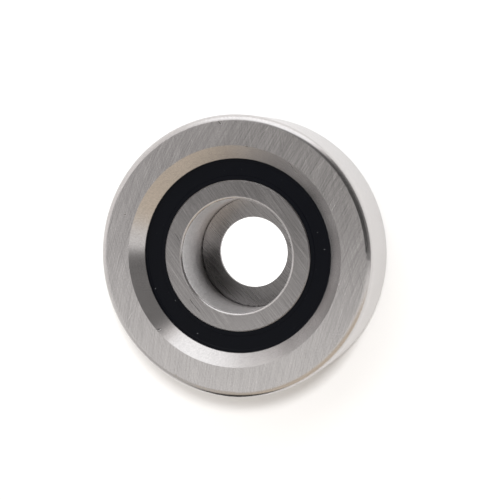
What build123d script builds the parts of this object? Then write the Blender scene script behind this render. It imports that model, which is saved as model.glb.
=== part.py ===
from build123d import *
import math
import os

# Sealed ball-bearing mast roller: a thick outer ring is the roller itself, and runs on one row of
# balls around a counterbored inner ring. Millimetres. +Z is the roller's axis and the photographed
# front face looks up. The origin is the centre of the inner ring's rear face, on which it stands.

# Outer ring, whose outside is the tread
TREAD_DIA = 98.0
OUTER_WIDTH = 28.0
TREAD_CORNER_R = 2.2
SEAL_RIM_THICKNESS = 0.65    # steel left between the 45 degree bevel and the seal groove
SEAL_RIM_EDGE_R = 0.6
SEAL_GROOVE_DEPTH = 1.3      # radial
GROOVE_EDGE_BREAK = 0.2

# Inner ring, which is held still on the stub shaft
STUB_BORE_DIA = 40.0
RACE_WALL = 4.2              # from the bore to the bottom of the race
REAR_STANDOFF = 0.75         # rear face proud of the outer ring's, so that the tread turns clear
FRONT_STEP = 0.5             # front face proud of the seal
RING_CORNER = 0.35
MOUTH_R = 0.75
WEB_THICKNESS = 3.0
BOLT_HOLE_DIA = 25.5
BOLT_HOLE_EDGE_BREAK = 0.2
BOLT_HOLE_REAR_CHAMFER = 1.6
WEB_RELIEF_WIDTH = 0.6       # grinding relief in the corner, cut into the web and into the bore
WEB_RELIEF_DEPTH = 0.35
BORE_RELIEF_WIDTH = 0.4
BORE_RELIEF_DEPTH = 0.25

# Ball set
BALL_DIA = 11.906            # 15/32 inch
BALL_COUNT = 9
RACE_DEPTH = 2.3             # from each ring's land to the bottom of its race
RACE_CONFORMITY = 0.52       # race radius as a share of the ball's diameter
RACE_PLAY = 0.02             # radial, at each race

# Seals, one on each side
SEAL_THICKNESS = 1.4
SEAL_BEAD_THICKNESS = 1.6
SEAL_CAGE_GAP = 0.477        # brings the inner ring to a width of 24
SEAL_FIT_GAP = 0.05
SEAL_LIP_GAP = 0.08          # running clearance on the inner ring's land
SEAL_LIP_RADIAL = 1.6
SEAL_LIP_THICKNESS = 0.9
SEAL_DISH_DEPTH = 0.15
SEAL_DISH_MARGIN = 0.9

# Pressed ribbon cage in two halves, held together by rivets
CAGE_SHEET = 0.8
CAGE_WIDTH = 5.4
POCKET_PLAY = 0.12
RIVET_DIA = 1.8
RIVET_HOLE_GAP = 0.02
RIVET_HEAD_DIA = 3.2
RIVET_HEAD_HEIGHT = 0.7

# Radii, from the stub shaft outwards
hole_r = BOLT_HOLE_DIA / 2
bore_r = STUB_BORE_DIA / 2
ball_r = BALL_DIA / 2
race_r = RACE_CONFORMITY * BALL_DIA
inner_race_bottom = bore_r + RACE_WALL
land_r = inner_race_bottom + RACE_DEPTH
pitch_r = inner_race_bottom + RACE_PLAY + ball_r
outer_race_bottom = pitch_r + ball_r + RACE_PLAY
outer_land_r = outer_race_bottom - RACE_DEPTH
tread_r = TREAD_DIA / 2
race_half = math.sqrt(race_r ** 2 - (race_r - RACE_DEPTH) ** 2)

# Heights above the ball plane, from the cage outwards
pocket_r = ball_r + POCKET_PLAY
cup_r = pocket_r + CAGE_SHEET
seal_face = cup_r + SEAL_CAGE_GAP + SEAL_THICKNESS
groove_outer = seal_face + SEAL_FIT_GAP
groove_inner = seal_face - SEAL_BEAD_THICKNESS - SEAL_FIT_GAP
half_width = OUTER_WIDTH / 2
bevel_size = half_width - groove_outer - SEAL_RIM_THICKNESS

# Heights above the inner ring's rear face
mid_z = REAR_STANDOFF + half_width
inner_front_z = mid_z + seal_face + FRONT_STEP

ball_angle = 360 / BALL_COUNT


def turned(profile):
    """Turn a closed outline of (radius, height) points, drawn in the XZ plane, about +Z."""
    return revolve(make_face(Plane.XZ * profile), axis=Axis.Z)


def outer_ring():
    """Thick ring drawn about the ball plane: the rear side of its section mirrors the front."""
    corner = TREAD_CORNER_R
    corner_mid = corner * math.sqrt(0.5)
    tread_end = half_width - corner
    bevel_foot = half_width - bevel_size
    edge = SEAL_RIM_EDGE_R
    edge_angle = math.radians(22.5)
    setback = edge * math.tan(edge_angle)
    setback_mid = setback * math.sqrt(0.5)
    side = Curve() + [
        ThreePointArc(
            (tread_r, tread_end),
            (tread_r - corner + corner_mid, tread_end + corner_mid),
            (tread_r - corner, half_width),
        ),
        Polyline(
            (tread_r - corner, half_width),
            (outer_land_r + bevel_size, half_width),
            (outer_land_r + setback_mid, bevel_foot + setback_mid),
        ),
        ThreePointArc(
            (outer_land_r + setback_mid, bevel_foot + setback_mid),
            (
                outer_land_r + edge - edge * math.cos(edge_angle),
                bevel_foot - setback + edge * math.sin(edge_angle),
            ),
            (outer_land_r, bevel_foot - setback),
        ),
        Polyline(
            (outer_land_r, bevel_foot - setback),
            (outer_land_r, groove_outer),
            (outer_land_r + SEAL_GROOVE_DEPTH, groove_outer),
            (outer_land_r + SEAL_GROOVE_DEPTH, groove_inner),
            (outer_land_r + GROOVE_EDGE_BREAK, groove_inner),
            (outer_land_r, groove_inner - GROOVE_EDGE_BREAK),
            (outer_land_r, race_half),
        ),
    ]
    outline = Curve() + [
        Line((tread_r, -tread_end), (tread_r, tread_end)),
        side,
        ThreePointArc((outer_land_r, race_half), (outer_race_bottom, 0), (outer_land_r, -race_half)),
        mirror(side, about=Plane.XZ),
    ]
    return turned(outline)


def inner_ring():
    """Race outside, stepped bore inside: the stub shaft's bore, the web and the bolt hole."""
    mouth_mid = MOUTH_R * math.sqrt(0.5)
    chamfer = BOLT_HOLE_REAR_CHAMFER
    outline = Curve() + [
        Polyline(
            (hole_r + chamfer, 0),
            (land_r - RING_CORNER, 0),
            (land_r, RING_CORNER),
            (land_r, mid_z - race_half),
        ),
        ThreePointArc((land_r, mid_z - race_half), (inner_race_bottom, mid_z), (land_r, mid_z + race_half)),
        Polyline(
            (land_r, mid_z + race_half),
            (land_r, inner_front_z - RING_CORNER),
            (land_r - RING_CORNER, inner_front_z),
            (bore_r + MOUTH_R, inner_front_z),
        ),
        ThreePointArc(
            (bore_r + MOUTH_R, inner_front_z),
            (bore_r + MOUTH_R - mouth_mid, inner_front_z - MOUTH_R + mouth_mid),
            (bore_r, inner_front_z - MOUTH_R),
        ),
        Polyline(
            (bore_r, inner_front_z - MOUTH_R),
            (bore_r, WEB_THICKNESS + BORE_RELIEF_WIDTH),
            (bore_r + BORE_RELIEF_DEPTH, WEB_THICKNESS + BORE_RELIEF_WIDTH),
            (bore_r + BORE_RELIEF_DEPTH, WEB_THICKNESS - WEB_RELIEF_DEPTH),
            (bore_r - WEB_RELIEF_WIDTH, WEB_THICKNESS - WEB_RELIEF_DEPTH),
            (bore_r - WEB_RELIEF_WIDTH, WEB_THICKNESS),
            (hole_r + BOLT_HOLE_EDGE_BREAK, WEB_THICKNESS),
            (hole_r, WEB_THICKNESS - BOLT_HOLE_EDGE_BREAK),
            (hole_r, chamfer),
            (hole_r + chamfer, 0),
        ),
    ]
    return turned(outline)


def seal():
    """Rubber-covered shield with a bead in the outer ring's groove and a lip over the inner ring's
    land. Drawn above the ball plane, with its outward face up."""
    top = seal_face
    bead_r = outer_land_r + SEAL_GROOVE_DEPTH - SEAL_FIT_GAP
    shield_r = outer_land_r - SEAL_FIT_GAP
    lip_r = land_r + SEAL_LIP_GAP
    lip_root = lip_r + SEAL_LIP_RADIAL
    dish_outer = shield_r - SEAL_DISH_MARGIN
    dish_inner = lip_root
    outline = Polyline(
        (bead_r, top),
        (bead_r, top - SEAL_BEAD_THICKNESS),
        (shield_r, top - SEAL_BEAD_THICKNESS),
        (shield_r - SEAL_THICKNESS / 2, top - SEAL_THICKNESS),
        (lip_root + SEAL_LIP_THICKNESS / 2, top - SEAL_THICKNESS),
        (lip_root, top - SEAL_LIP_THICKNESS),
        (lip_r, top - SEAL_LIP_THICKNESS),
        (lip_r, top - SEAL_DISH_DEPTH),
        (lip_r + SEAL_DISH_DEPTH, top),
        (dish_inner - SEAL_DISH_DEPTH, top),
        (dish_inner, top - SEAL_DISH_DEPTH),
        (dish_outer, top - SEAL_DISH_DEPTH),
        (dish_outer + SEAL_DISH_DEPTH, top),
        (bead_r, top),
    )
    return turned(outline)


def ball_places():
    """Centres of the balls, from the +X axis round."""
    return [Rot(0, 0, i * ball_angle) * Pos(pitch_r, 0, 0) for i in range(BALL_COUNT)]


def rivet_places():
    """Rivet axes, half way between neighbouring balls."""
    return [Rot(0, 0, (i + 0.5) * ball_angle) * Pos(pitch_r, 0, 0) for i in range(BALL_COUNT)]


def cage_half():
    """Half above the ball plane: flat webs between the balls, and a cup over each ball."""
    inside = pitch_r - CAGE_WIDTH / 2
    outside = pitch_r + CAGE_WIDTH / 2
    floor = (Align.CENTER, Align.CENTER, Align.MIN)
    band = Cylinder(outside, cup_r, align=floor) - Cylinder(inside, cup_r, align=floor)
    webs = Cylinder(outside, CAGE_SHEET, align=floor) - Cylinder(inside, CAGE_SHEET, align=floor)
    cups = [band & place * Sphere(cup_r) for place in ball_places()]
    pockets = [place * Sphere(pocket_r) for place in ball_places()]
    hole = Cylinder(RIVET_DIA / 2 + RIVET_HOLE_GAP, 2 * CAGE_SHEET)
    holes = [place * hole for place in rivet_places()]
    return webs + cups - pockets - holes


def rivet():
    """Shank through both webs, with a low round head formed on each side."""
    head_r = RIVET_HEAD_DIA / 2
    shank_r = RIVET_DIA / 2
    top = CAGE_SHEET + RIVET_HEAD_HEIGHT
    dome_r = (head_r ** 2 + RIVET_HEAD_HEIGHT ** 2) / (2 * RIVET_HEAD_HEIGHT)
    dome_mid = (head_r / 2, top - dome_r + math.sqrt(dome_r ** 2 - head_r ** 2 / 4))
    upper_dome = ThreePointArc((head_r, CAGE_SHEET), dome_mid, (0, top))
    outline = Curve() + [
        Polyline(
            (0, top),
            (0, -top),
        ),
        mirror(upper_dome, about=Plane.XZ),
        Polyline(
            (head_r, -CAGE_SHEET),
            (shank_r, -CAGE_SHEET),
            (shank_r, CAGE_SHEET),
            (head_r, CAGE_SHEET),
        ),
        upper_dome,
    ]
    return turned(outline)


def roller_parts():
    """Every piece by its name, in its place."""
    at_ball_plane = Pos(0, 0, mid_z)
    front_seal = seal()
    front_half = cage_half()
    parts = {
        "outer_ring": at_ball_plane * outer_ring(),
        "inner_ring": inner_ring(),
        "front_seal": at_ball_plane * front_seal,
        "rear_seal": at_ball_plane * mirror(front_seal, about=Plane.XY),
        "front_cage_half": at_ball_plane * front_half,
        "rear_cage_half": at_ball_plane * mirror(front_half, about=Plane.XY),
    }
    for number, place in enumerate(ball_places(), start=1):
        parts[f"ball_{number}"] = at_ball_plane * place * Sphere(ball_r)
    for number, place in enumerate(rivet_places(), start=1):
        parts[f"cage_rivet_{number}"] = at_ball_plane * place * rivet()
    return parts


os.makedirs("parts", exist_ok=True)
for name, shape in roller_parts().items():
    export_step(shape, f"parts/{name}.step")
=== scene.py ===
import math

import bpy
from mathutils import Matrix, Vector


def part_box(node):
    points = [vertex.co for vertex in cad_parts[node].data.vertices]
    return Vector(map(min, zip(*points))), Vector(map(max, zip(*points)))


# The looks of a sealed mast roller: ground and turned bearing steel, black rubber seals and a
# plain white studio. Objects, lamps and the camera are placed in metres, in the frame's axes. The
# materials work in millimetres, in the same axes: z along the roller, r from its axis.

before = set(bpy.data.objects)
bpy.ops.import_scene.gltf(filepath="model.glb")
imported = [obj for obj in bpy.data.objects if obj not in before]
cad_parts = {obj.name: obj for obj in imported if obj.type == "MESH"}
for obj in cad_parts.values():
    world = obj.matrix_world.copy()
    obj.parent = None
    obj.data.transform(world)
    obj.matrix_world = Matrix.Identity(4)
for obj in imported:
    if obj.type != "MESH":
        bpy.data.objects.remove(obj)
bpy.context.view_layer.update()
bpy.context.scene.view_settings.view_transform = "Standard"
MM = 0.001

# Camera, turned to the roller's right and a little above. The lens and the square frame are in mm.
VIEW_TILT = math.radians(17.475)
VIEW_TURN = math.radians(13.135)
VIEW_DISTANCE = 418.4 * MM
LENS = 87.51
SENSOR_WIDTH = 36
FACE_CENTRE_IN_VIEW = Vector((-6.248, -2.468)) * MM

right_z = -math.sin(VIEW_TILT) * math.cos(VIEW_TURN)
right_x = math.sqrt(1 - right_z ** 2)
up_z = -math.sin(VIEW_TILT) * math.sin(VIEW_TURN)
up_x = -right_z * up_z / right_x
view_right = Vector((right_x, 0, right_z))
view_up = Vector((up_x, math.sqrt(1 - up_x ** 2 - up_z ** 2), up_z))
view_back = view_right.cross(view_up)

# Places on the roller: the ends from the frame, and the rest along its axis (z) and from it (r)
ring_low, ring_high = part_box("outer_ring")
ring_middle = (ring_high.z + ring_low.z) / 2
RING_FACE_Z = ring_high.z / MM
HUB_FACE_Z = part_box("inner_ring")[1].z / MM
SEAL_FACE_Z = 23.4
WEB_FACE_Z = 3.0
BORE_R = 20.0
MOUTH_R = 20.75

# Lamp above the camera: direction along right, up and back, distance and size in metres, watts
OVERHEAD_DIRECTION = (-0.02, 0.20, 0.98)
OVERHEAD_DISTANCE = 0.8
OVERHEAD_SIZE = 0.12
OVERHEAD_POWER = 3.8

# Colours of the metals
RING_COLOUR = (0.595, 0.580, 0.580)
HUB_COLOUR = (0.485, 0.47, 0.47)
CAGE_COLOUR = (0.46, 0.45, 0.44)
BALL_COLOUR = (0.62, 0.62, 0.63)
RIVET_COLOUR = (0.52, 0.50, 0.47)

# Ground faces: streaks for each millimetre across and along them, share of crossing streaks, contrast
RING_GRAIN = (2.9, 0.09, 0.35, 0.78)
HUB_GRAIN = (2.6, 0.05, 0.08, 1.15)

# Radius in mm of the arcs that a wheel's lines follow, and their angles in degrees from +X
RING_ARC = 200
HUB_ARC = 900
RING_LINE_ANGLE = 70
HUB_LINE_ANGLE = 127
WEB_LINE_ANGLE = 135

# Dark nicks and light scratches that the photograph shows: centre, half length, half width, all in
# mm, and angle in degrees
RING_NICKS = (
    ((-4.3, 46.1, RING_FACE_Z), 0.9, 0.35, -52),
    ((5.4, 37.95, 28.6), 1.0, 0.3, -15),
    ((21.0, 30.9, 27.8), 0.9, 0.2, -56),
    ((22.3, 29.3, 27.2), 0.7, 0.18, -56),
    ((-39.5, 14.2, RING_FACE_Z), 0.5, 0.3, 20),
    ((-27.0, -26.2, 28.5), 0.8, 0.35, 15),
)
RING_SCRATCHES = (
    ((-38.0, -22.0, RING_FACE_Z), 2.5, 0.12, 58),
    ((31.0, 31.5, RING_FACE_Z), 3.0, 0.12, 52),
    ((12.0, 43.5, RING_FACE_Z), 2.0, 0.12, 40),
)
HUB_NICKS = (
    ((-14.6, -18.6, HUB_FACE_Z), 2.6, 0.12, 133),
    ((-16.4, -16.6, HUB_FACE_Z), 1.6, 0.14, 125),
    ((-21.5, 6.0, HUB_FACE_Z), 2.4, 0.12, 122),
    ((3.0, 25.9, HUB_FACE_Z), 0.4, 0.3, 40),
)
HUB_SCRATCHES = (
    ((-15.6, 16.1, HUB_FACE_Z), 1.9, 0.13, 129),
    ((-13.4, 17.8, HUB_FACE_Z), 1.6, 0.13, 124),
    ((-19.0, 15.5, HUB_FACE_Z), 1.5, 0.10, 118),
)

# Specks of dust on the seal, listed the same way
SEAL_DUST = (
    ((-30.35, -12.29, SEAL_FACE_Z), 0.32, 0.2, 40),
    ((-22.77, -16.34, SEAL_FACE_Z), 0.3, 0.18, 120),
    ((-14.53, -27.8, SEAL_FACE_Z), 0.35, 0.2, 10),
    ((31.43, 2.93, SEAL_FACE_Z), 0.35, 0.18, 0),
    ((28.95, 8.69, SEAL_FACE_Z), 0.22, 0.15, 30),
)


def make_camera():
    """Camera at the photograph's viewing angle."""
    camera = bpy.data.objects.new("camera", bpy.data.cameras.new("camera"))
    bpy.context.scene.collection.objects.link(camera)
    bpy.context.scene.camera = camera
    camera.data.lens = LENS
    camera.data.sensor_width = SENSOR_WIDTH
    camera.data.clip_start = 0.01
    face_centre = Vector((0, 0, ring_high.z))
    place = face_centre - FACE_CENTRE_IN_VIEW.x * view_right - FACE_CENTRE_IN_VIEW.y * view_up
    place = place + VIEW_DISTANCE * view_back
    turned = Matrix((view_right, view_up, view_back)).transposed()
    camera.matrix_world = Matrix.Translation(place) @ turned.to_4x4()


class Graph:
    """Short calls that add nodes to one node tree and give back their output sockets."""

    def __init__(self, tree):
        self.tree = tree
        tree.nodes.clear()

    def feed(self, socket, value):
        if isinstance(value, bpy.types.NodeSocket):
            self.tree.links.new(value, socket)
        else:
            socket.default_value = value

    def add(self, kind, inputs=None, **settings):
        node = self.tree.nodes.new(kind)
        for name, value in settings.items():
            setattr(node, name, value)
        for name, value in (inputs or {}).items():
            self.feed(node.inputs[name], value)
        return node

    def math(self, operation, *values):
        node = self.add("ShaderNodeMath", operation=operation)
        for socket, value in zip(node.inputs, values):
            self.feed(socket, value)
        return node.outputs[0]

    def times(self, first, *others):
        for other in others:
            first = self.math("MULTIPLY", first, other)
        return first

    def sum(self, first, *others):
        for other in others:
            first = self.math("ADD", first, other)
        return first

    def minus(self, a, b):
        return self.math("SUBTRACT", a, b)

    def centred(self, value, reach):
        """A value of 0 to 1 turned into one of -reach / 2 to reach / 2."""
        return self.times(self.minus(value, 0.5), reach)

    def length(self, x, y):
        return self.math("SQRT", self.sum(self.times(x, x), self.times(y, y)))

    def vector(self, x, y, z):
        return self.add("ShaderNodeCombineXYZ", {"X": x, "Y": y, "Z": z}).outputs[0]

    def dot(self, a, b):
        node = self.add("ShaderNodeVectorMath", operation="DOT_PRODUCT")
        self.feed(node.inputs[0], a)
        self.feed(node.inputs[1], b)
        return node.outputs["Value"]

    def scaled(self, vector, scale):
        """A vector or colour times a number."""
        node = self.add("ShaderNodeVectorMath", {"Scale": scale}, operation="SCALE")
        self.feed(node.inputs[0], vector)
        return node.outputs[0]

    def apart(self, vector, from_place=(0, 0, 0)):
        """The parts of a vector, measured from a place."""
        node = self.add("ShaderNodeVectorMath", operation="SUBTRACT")
        self.feed(node.inputs[0], vector)
        self.feed(node.inputs[1], from_place)
        return tuple(self.add("ShaderNodeSeparateXYZ", {"Vector": node.outputs[0]}).outputs)

    def step(self, value, low, high):
        """0 before low and 1 past high, with a smooth change between them."""
        settings = {"Value": value, "From Min": low, "From Max": high}
        return self.add("ShaderNodeMapRange", settings, interpolation_type="SMOOTHSTEP").outputs[0]

    def mix(self, factor, a, b):
        node = self.add("ShaderNodeMix", data_type="FLOAT")
        for index, value in ((0, factor), (2, a), (3, b)):
            self.feed(node.inputs[index], value)
        return node.outputs[0]

    def mix_colour(self, factor, a, b):
        node = self.add("ShaderNodeMix", data_type="RGBA")
        for index, value in ((0, factor), (6, a), (7, b)):
            self.feed(node.inputs[index], value)
        return node.outputs[2]

    def mix_vector(self, factor, a, b):
        node = self.add("ShaderNodeMix", data_type="VECTOR")
        for index, value in ((0, factor), (4, a), (5, b)):
            self.feed(node.inputs[index], value)
        return node.outputs[1]

    def noise(self, vector, scale=1.0, detail=2.0, roughness=0.5):
        settings = {"Vector": vector, "Scale": scale, "Detail": detail, "Roughness": roughness}
        return self.add("ShaderNodeTexNoise", settings).outputs[0]

    def place_mm(self):
        """The point's place on its own piece, in millimetres."""
        return self.scaled(self.add("ShaderNodeTexCoord").outputs["Object"], 1 / MM)


def new_material(name):
    """A material and the empty graph of its nodes."""
    material = bpy.data.materials.new(name)
    material.use_nodes = True
    return material, Graph(material.node_tree)


def finish_material(graph, shader):
    """The shader on the material's surface."""
    output = graph.add("ShaderNodeOutputMaterial")
    graph.feed(output.inputs["Surface"], shader.outputs[0])


def staged_face(name, corners):
    """One flat face that isn't part of the roller, and the empty graph of its material."""
    mesh = bpy.data.meshes.new(name)
    mesh.from_pydata(corners, [], [tuple(range(len(corners)))])
    made = bpy.data.objects.new(name, mesh)
    bpy.context.scene.collection.objects.link(made)
    material, graph = new_material(name)
    made.data.materials.append(material)
    return graph


def finish_one_sided(graph, shader, faded):
    """The shader on the front, and nothing on the back or where it is faded."""
    backfacing = graph.add("ShaderNodeNewGeometry").outputs["Backfacing"]
    clear = graph.add("ShaderNodeMixShader", {"Fac": graph.math("MAXIMUM", backfacing, faded)})
    graph.feed(clear.inputs[1], shader.outputs[0])
    graph.feed(clear.inputs[2], graph.add("ShaderNodeBsdfTransparent").outputs[0])
    finish_material(graph, clear)


def make_world():
    """The studio as the steel shows it: a white wall with a large soft light at the upper left, a
    pale table below, and a dim room around the camera and to its right. Directions are along the
    camera's right, up and back axes at rest."""
    world = bpy.data.worlds.new("studio")
    bpy.context.scene.world = world
    world.use_nodes = True
    graph = Graph(world.node_tree)
    direction = graph.add("ShaderNodeTexCoord").outputs["Generated"]
    rightward = graph.dot(direction, tuple(view_right))
    upward = graph.dot(direction, tuple(view_up))
    backward = graph.dot(direction, tuple(view_back))

    room_colour = (1.0, 0.97, 0.95)
    room_behind_camera = 0.06
    room_beside_camera = 0.22
    room_far_away = 0.52
    left_colour = (0.98, 0.96, 0.95, 1)
    table_near_colour = (0.92, 0.90, 0.88, 1)
    table_grey = (0.58, 0.56, 0.54, 1)
    table_tan = (0.735, 0.632, 0.51, 1)
    wall_colour = (1.08, 1.04, 1.02, 1)
    lamp_colour = (1.6, 1.6, 1.6, 1)

    # Room, darkest behind the camera
    beside = graph.step(backward, 0.97, 0.70)
    away = graph.step(backward, 0.75, -0.6)
    level = graph.mix(beside, room_behind_camera, room_beside_camera)
    seen = graph.scaled(room_colour, graph.mix(away, level, room_far_away))

    # Bright left side
    seen = graph.mix_colour(graph.step(rightward, -0.54, -1.0), seen, left_colour)

    # Pale table, brightest near its edge and tan towards the lower right
    table_far_colour = graph.mix_colour(graph.step(rightward, -0.75, -0.2), table_grey, table_tan)
    table_away = graph.step(upward, -0.28, -0.62)
    table = graph.mix_colour(table_away, table_near_colour, table_far_colour)
    seen = graph.mix_colour(graph.step(upward, -0.10, -0.23), seen, table)

    # White wall at the upper left and the soft light in front of it
    lit = graph.sum(graph.times(rightward, -0.55), graph.times(upward, 0.835))
    wall = graph.times(graph.step(lit, 0.33, 0.50), graph.step(backward, 0.92, 0.70))
    seen = graph.mix_colour(wall, seen, wall_colour)
    lamp = graph.times(
        graph.step(lit, 0.46, 0.58),
        graph.step(backward, 0.10, 0.20),
        graph.step(rightward, -0.75, -0.50),
    )
    seen = graph.mix_colour(lamp, seen, lamp_colour)
    background = graph.add("ShaderNodeBackground", {"Color": seen, "Strength": 1.0})
    output = graph.add("ShaderNodeOutputWorld")
    graph.feed(output.inputs["Surface"], background.outputs[0])


def make_overhead_lamp():
    """Soft square panel above the camera that faces the roller. The steel doesn't mirror it."""
    light = bpy.data.lights.new("overhead", "AREA")
    light.size = OVERHEAD_SIZE
    light.energy = OVERHEAD_POWER
    lamp = bpy.data.objects.new("overhead", light)
    bpy.context.scene.collection.objects.link(lamp)
    rightward, upward, backward = OVERHEAD_DIRECTION
    direction = rightward * view_right + upward * view_up + backward * view_back
    direction.normalize()
    lamp.location = Vector((0, 0, ring_middle)) + OVERHEAD_DISTANCE * direction
    lamp.rotation_mode = "QUATERNION"
    lamp.rotation_quaternion = direction.to_track_quat("Z", "Y")
    lamp.visible_glossy = False


def make_floor():
    """White table that the roller lies on. What is seen of it is lifted to white, and its shadow
    stays, except under the bore, where painted light makes it fully white and hides the roller's
    shadow."""
    radius = 3.0
    sides = 96
    paint_colour = (0.88, 0.88, 0.88, 1)
    table_lift = 0.08
    hole_painted_light = 1.0
    ring = [
        (radius * math.cos(math.tau * k / sides), radius * math.sin(math.tau * k / sides), 0)
        for k in range(sides)
    ]
    graph = staged_face("floor", ring)
    rays = graph.add("ShaderNodeLightPath").outputs
    seen = graph.math("MAXIMUM", rays["Is Camera Ray"], rays["Is Glossy Ray"])
    seen = graph.math("MAXIMUM", seen, rays["Is Transmission Ray"])
    x, y = graph.apart(graph.place_mm())[:2]
    # Painted light under the bore: the floor there is lifted to full white, hiding the roller's shadow
    painted_light_under_hole = graph.step(graph.length(x, y), 15.0, 13.0)
    lift = graph.mix(painted_light_under_hole, table_lift, hole_painted_light)
    glow = graph.add("ShaderNodeEmission", {"Strength": graph.times(seen, lift)})
    paint = graph.add("ShaderNodeBsdfDiffuse", {"Color": paint_colour})
    both = graph.add("ShaderNodeAddShader")
    graph.feed(both.inputs[0], paint.outputs[0])
    graph.feed(both.inputs[1], glow.outputs[0])
    finish_one_sided(graph, both, 0.0)


def make_contact_card():
    """Narrow dark card just below the edge of the tread that is lowest in the camera's view. Only that
    edge mirrors it, as the shade where the roller touches its white table in the photograph."""
    half_width = 0.03
    y = ring_low.y - 0.0001
    low = ring_high.z - 0.0017
    high = ring_high.z + 0.003
    card_colour = (0.05, 0.05, 0.05, 1)
    left_side = [(-half_width, y, low), (-half_width, y, high)]
    right_side = [(half_width, y, high), (half_width, y, low)]
    graph = staged_face("contact_card", left_side + right_side)
    card = bpy.data.objects["contact_card"]
    card.visible_camera = False
    card.visible_diffuse = False
    card.visible_shadow = False
    place = graph.apart(graph.place_mm())
    faded_aside = graph.step(graph.math("ABSOLUTE", place[0]), 8.0, 30.0)
    faded_above = graph.step(place[2], 28.2, 29.4)
    faded = graph.math("MAXIMUM", faded_aside, faded_above)
    finish_one_sided(graph, graph.add("ShaderNodeBsdfDiffuse", {"Color": card_colour}), faded)


def direction_of(angle_deg):
    return math.cos(math.radians(angle_deg)), math.sin(math.radians(angle_deg))


def along_and_across(graph, x, y, line_x, line_y, arc_mm):
    """Places along and across grinding lines, and the lines' own direction. The lines run along
    (line_x, line_y) at the centre and bend as arcs of the given radius."""
    along = graph.sum(graph.times(x, line_x), graph.times(y, line_y))
    across = graph.minus(graph.times(x, line_y), graph.times(y, line_x))
    turn = graph.times(along, -1 / arc_mm)
    bent = graph.sum(across, graph.times(along, turn, 0.5))
    direction = graph.vector(
        graph.minus(line_x, graph.times(turn, line_y)),
        graph.sum(line_y, graph.times(turn, line_x)),
        0.0,
    )
    return along, bent, direction


def stretched_noise(graph, place, scales, detail=2.0, roughness=0.5):
    """Noise with its own scale along x, y and z."""
    scaled = (graph.times(part, scale) for part, scale in zip(place, scales))
    return graph.noise(graph.vector(*scaled), detail=detail, roughness=roughness)


def streaks(graph, across, along, z, pitch, stretch, detail=2.0, roughness=0.5):
    """Noise with so many streaks for each millimetre across the lines and along them."""
    return stretched_noise(graph, (across, along, z), (pitch, stretch, 1.0), detail, roughness)


def ground_lines(graph, along, across, z, pitch, stretch, crossing):
    """Marks of a grinding wheel on a flat face: fine streaks, broad streaks and single scratches.
    Some of the fine streaks cross the others at about 35 degrees."""
    fine = streaks(graph, across, along, z, pitch, stretch, roughness=0.6)
    turn_cos = 0.82
    turn_sin = 0.57
    other_along = graph.minus(graph.times(along, turn_cos), graph.times(across, turn_sin))
    other_across = graph.sum(graph.times(across, turn_cos), graph.times(along, turn_sin))
    other_z = graph.sum(z, 3.0)
    crossed = streaks(graph, other_across, other_along, other_z, pitch, stretch, roughness=0.6)
    fine = graph.mix(crossing, fine, crossed)
    broad = streaks(graph, across, along, z, 0.45, 0.035)
    thread = streaks(graph, across, along, graph.sum(z, 7.0), 2.4, 0.06, detail=0.0)
    scratch = graph.step(thread, 0.79, 0.88)
    return fine, broad, scratch


def turned_lines(graph, x, y, r, z):
    """Rings left by a tool or wheel on a turning ring: fine and broad."""
    profile = graph.minus(r, z)
    round_x = graph.math("DIVIDE", x, r)
    round_y = graph.math("DIVIDE", y, r)
    place = (round_x, round_y, profile)
    fine = stretched_noise(graph, place, (3.0, 3.0, 4.5))
    broad = stretched_noise(graph, place, (1.5, 1.5, 0.8))
    return fine, broad


def mark(graph, place, centre, half_length, half_width, angle_deg):
    """A small long spot, 1 inside and 0 outside."""
    x, y, z = graph.apart(place, centre)
    line_x, line_y = direction_of(angle_deg)
    along = graph.sum(graph.times(x, line_x), graph.times(y, line_y))
    across = graph.minus(graph.times(x, line_y), graph.times(y, line_x))
    along = graph.times(along, 1 / half_length)
    across = graph.times(across, 1 / half_width)
    reach = graph.length(graph.length(along, across), z)
    return graph.step(reach, 1.0, 0.5)


def marks(graph, place, listed):
    """All spots of a list together."""
    total = mark(graph, place, *listed[0])
    for values in listed[1:]:
        total = graph.math("MAXIMUM", mark(graph, place, *values), total)
    return total


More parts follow.
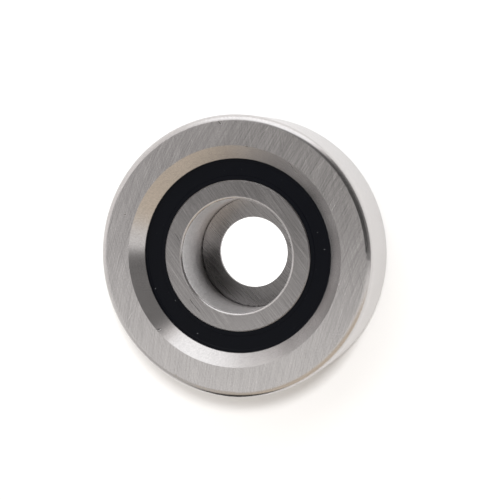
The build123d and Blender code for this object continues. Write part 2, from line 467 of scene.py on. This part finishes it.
def steel(name, colour, line_of, arc_mm, grain, roughness, nicks, scratches, bands_of):
    """Bearing steel. Its flat faces have the lines of a grinding wheel and the rest has fine rings;
    both spread the light across their lines. line_of gives the lines' direction, and bands_of gives
    the shade, the extra roughness and the share of relief of the ring's own bands. On the inner ring
    that shade holds painted highlight, painted light and painted shade."""
    pitch, stretch, crossing, flat_contrast = grain
    turned_contrast = 0.4
    flat_grit = 0.34
    turned_grit = 0.30
    flat_roughness, turned_roughness = roughness
    flat_relief = 0.0014
    turned_relief = 0.0006
    material, graph = new_material(name)
    place = graph.place_mm()
    x, y, z = graph.apart(place)
    r = graph.length(x, y)
    facing = graph.add("ShaderNodeTexCoord").outputs["Normal"]
    flat = graph.step(graph.math("ABSOLUTE", graph.dot(facing, (0, 0, 1))), 0.965, 0.995)
    line_x, line_y = line_of(graph, z)
    along, across, line = along_and_across(graph, x, y, line_x, line_y, arc_mm)
    flat_fine, flat_broad, scratch = ground_lines(graph, along, across, z, pitch, stretch, crossing)
    ring_fine, ring_broad = turned_lines(graph, x, y, r, z)
    fine = graph.mix(flat, ring_fine, flat_fine)
    broad = graph.mix(flat, ring_broad, flat_broad)
    scratch = graph.times(scratch, flat)
    cloud = graph.noise(place, scale=0.11, detail=4.0)
    grit = stretched_noise(graph, (x, y, z), (2.0, 2.0, 0.8), detail=1.0)
    dark = marks(graph, place, nicks)
    light = marks(graph, place, scratches)
    band, extra_roughness, relief = bands_of(graph, x, y, r, z)

    shade = graph.sum(
        1.0,
        graph.centred(fine, graph.mix(flat, turned_contrast, flat_contrast)),
        graph.centred(broad, 0.09),
        graph.centred(cloud, 0.08),
        graph.centred(grit, graph.mix(flat, turned_grit, flat_grit)),
        graph.times(scratch, 0.07),
        graph.times(dark, -0.6),
        graph.times(light, 0.35),
    )
    # The bands' shade holds the inner ring's painted highlight, painted light and painted shade
    shade = graph.times(shade, band)

    rough = graph.sum(
        graph.mix(flat, turned_roughness, flat_roughness),
        extra_roughness,
        graph.centred(broad, 0.04),
        graph.centred(fine, 0.12),
        graph.times(dark, 0.2),
    )

    height = graph.sum(
        graph.times(fine, graph.mix(flat, turned_relief, flat_relief)),
        graph.times(broad, 0.0010),
        graph.times(scratch, -0.001),
        graph.times(dark, -0.04),
    )
    height = graph.times(height, relief)
    bump = graph.add("ShaderNodeBump", {"Height": height, "Distance": MM, "Strength": 1.0})

    around = graph.vector(graph.times(y, -1), x, 0.0)
    tangent = graph.add(
        "ShaderNodeVectorTransform",
        {"Vector": graph.mix_vector(flat, around, line)},
        vector_type="VECTOR",
        convert_from="OBJECT",
        convert_to="WORLD",
    )
    settings = {
        "Base Color": graph.scaled(colour, shade),
        "Metallic": 1.0,
        "Roughness": rough,
        "Anisotropic": 0.7,
        "Anisotropic Rotation": 0.25,
        "Tangent": tangent.outputs[0],
        "Normal": bump.outputs[0],
    }
    finish_material(graph, graph.add("ShaderNodeBsdfPrincipled", settings))
    return material


def ring_bands(graph, x, y, r, z):
    """The outer ring has no band of its own."""
    return 1.0, 0.0, 1.0


def hub_bands(graph, x, y, r, z):
    """A lighter ring at the mouth that is a painted highlight, a coarse-grained bore wall with painted
    light deep inside and painted shade towards the mouth, and a rougher web with painted shade that
    is darkest towards -y."""
    front = graph.step(z, HUB_FACE_Z - 1.0, HUB_FACE_Z - 0.8)
    mouth = graph.times(front, graph.step(r, MOUTH_R + 0.05, MOUTH_R - 0.05))
    web = graph.step(z, WEB_FACE_Z + 1.0, WEB_FACE_Z + 0.5)
    wall = graph.times(graph.step(r, BORE_R + 0.3, BORE_R + 0.1), graph.minus(1.0, web))

    # Painted highlight: a lighter ring of base colour on the mouth's rounding
    from_painted_highlight = graph.math("ABSOLUTE", graph.minus(r, MOUTH_R - 0.2))
    mouth_painted_highlight = graph.times(front, graph.step(from_painted_highlight, 0.45, 0.25), 0.3)
    # Painted shade on the web: darker towards -y and a little lighter towards +y
    web_painted_shade = graph.mix(graph.step(y, -15.0, 13.0), -0.32, 0.10)
    grain = stretched_noise(graph, (x, y, z), (1.7, 1.7, 0.5), detail=3.0, roughness=0.7)
    # Painted light deep in the bore and painted shade towards its mouth, with real grain added below
    wall_painted_shade_and_grain = graph.mix(graph.step(z, 8.0, 21.0), 0.14, -0.28)
    wall_painted_shade_and_grain = graph.sum(wall_painted_shade_and_grain, graph.centred(grain, 0.7))
    shade = graph.sum(1.0, mouth_painted_highlight, graph.times(web, web_painted_shade), graph.times(wall, wall_painted_shade_and_grain))

    mouth_roughness = graph.mix(graph.step(r, MOUTH_R - 0.33, MOUTH_R - 0.2), -0.03, 0.12)
    rough = graph.sum(graph.times(mouth, mouth_roughness), graph.times(web, 0.04))

    smooth = graph.times(front, graph.step(r, MOUTH_R + 0.45, MOUTH_R + 0.2))
    relief = graph.sum(graph.minus(1.0, smooth), graph.times(wall, 2.0))
    return shade, rough, relief


def ring_lines(graph, z):
    """Lines at one angle on both faces."""
    return direction_of(RING_LINE_ANGLE)


def hub_lines(graph, z):
    """Lines on the face and, a little steeper, on the web."""
    web = graph.step(z, WEB_FACE_Z + 2.0, WEB_FACE_Z + 1.0)
    face_x, face_y = direction_of(HUB_LINE_ANGLE)
    web_x, web_y = direction_of(WEB_LINE_ANGLE)
    return graph.mix(web, face_x, web_x), graph.mix(web, face_y, web_y)


def rubber():
    """Black nitrile: matt, slightly blue, with a few specks of dust."""
    black_colour = (0.0002, 0.0008, 0.0028)
    dust_colour = (0.10, 0.105, 0.11, 1)
    material, graph = new_material("seal_rubber")
    place = graph.place_mm()
    grain = graph.noise(place, scale=6.0, detail=3.0)
    cloud = graph.noise(place, scale=0.25, detail=2.0)
    dust = marks(graph, place, SEAL_DUST)
    speck = graph.add("ShaderNodeTexVoronoi", {"Vector": place, "Scale": 0.45}).outputs["Distance"]
    white = graph.math("MAXIMUM", dust, graph.times(graph.step(speck, 0.05, 0.03), 0.35))
    black_shade = graph.sum(0.7, graph.times(graph.sum(grain, cloud), 0.3))
    black = graph.scaled(black_colour, black_shade)
    bump = graph.add("ShaderNodeBump", {"Height": graph.times(grain, 0.004), "Distance": MM})
    settings = {
        "Base Color": graph.mix_colour(white, black, dust_colour),
        "Roughness": graph.sum(0.34, graph.times(cloud, 0.12)),
        "Specular IOR Level": 0.16,
        "Normal": bump.outputs[0],
    }
    finish_material(graph, graph.add("ShaderNodeBsdfPrincipled", settings))
    return material


def smooth_steel(name, colour, roughness, stretch, relief):
    """Rolled, pressed or polished steel: fine grain stretched along its forming, a cloudy tone and
    smudges of oil."""
    material, graph = new_material(name)
    place = graph.place_mm()
    grain = stretched_noise(graph, graph.apart(place), stretch, detail=4.0, roughness=0.6)
    cloud = graph.noise(place, scale=0.3, detail=3.0)
    smudge = graph.step(graph.noise(place, scale=0.8, detail=2.0), 0.52, 0.70)
    shade = graph.sum(1.0, graph.centred(grain, 0.2), graph.centred(cloud, 0.15))
    shade = graph.sum(shade, graph.times(smudge, -0.06))
    rough = graph.times(graph.sum(0.8, graph.times(grain, 0.4)), roughness)
    rough = graph.sum(rough, graph.times(smudge, 0.05))
    bump = graph.add("ShaderNodeBump", {"Height": graph.times(grain, relief), "Distance": MM})
    settings = {
        "Base Color": graph.scaled(colour, shade),
        "Metallic": 1.0,
        "Roughness": rough,
        "Normal": bump.outputs[0],
    }
    finish_material(graph, graph.add("ShaderNodeBsdfPrincipled", settings))
    return material


def dress(names, material):
    """The material on the named pieces, in place of what they have."""
    for name in names:
        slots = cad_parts[name].data.materials
        slots.clear()
        slots.append(material)


make_camera()
make_world()
make_floor()
make_contact_card()
make_overhead_lamp()

ring_steel = steel(
    "ring_steel",
    RING_COLOUR,
    line_of=ring_lines,
    arc_mm=RING_ARC,
    grain=RING_GRAIN,
    roughness=(0.25, 0.24),
    nicks=RING_NICKS,
    scratches=RING_SCRATCHES,
    bands_of=ring_bands,
)
hub_steel = steel(
    "hub_steel",
    HUB_COLOUR,
    line_of=hub_lines,
    arc_mm=HUB_ARC,
    grain=HUB_GRAIN,
    roughness=(0.24, 0.30),
    nicks=HUB_NICKS,
    scratches=HUB_SCRATCHES,
    bands_of=hub_bands,
)
cage_steel = smooth_steel("cage_steel", CAGE_COLOUR, 0.30, stretch=(0.5, 0.5, 4.0), relief=0.004)
ball_steel = smooth_steel("ball_steel", BALL_COLOUR, 0.07, stretch=(1.5, 1.5, 1.5), relief=0.0002)
rivet_steel = smooth_steel("rivet_steel", RIVET_COLOUR, 0.24, stretch=(5.0, 5.0, 2.0), relief=0.006)
dress(["outer_ring"], ring_steel)
dress(["inner_ring"], hub_steel)
dress(["front_seal", "rear_seal"], rubber())
dress(["front_cage_half", "rear_cage_half"], cage_steel)
dress([f"ball_{k}" for k in range(1, 10)], ball_steel)
dress([f"cage_rivet_{k}" for k in range(1, 10)], rivet_steel)
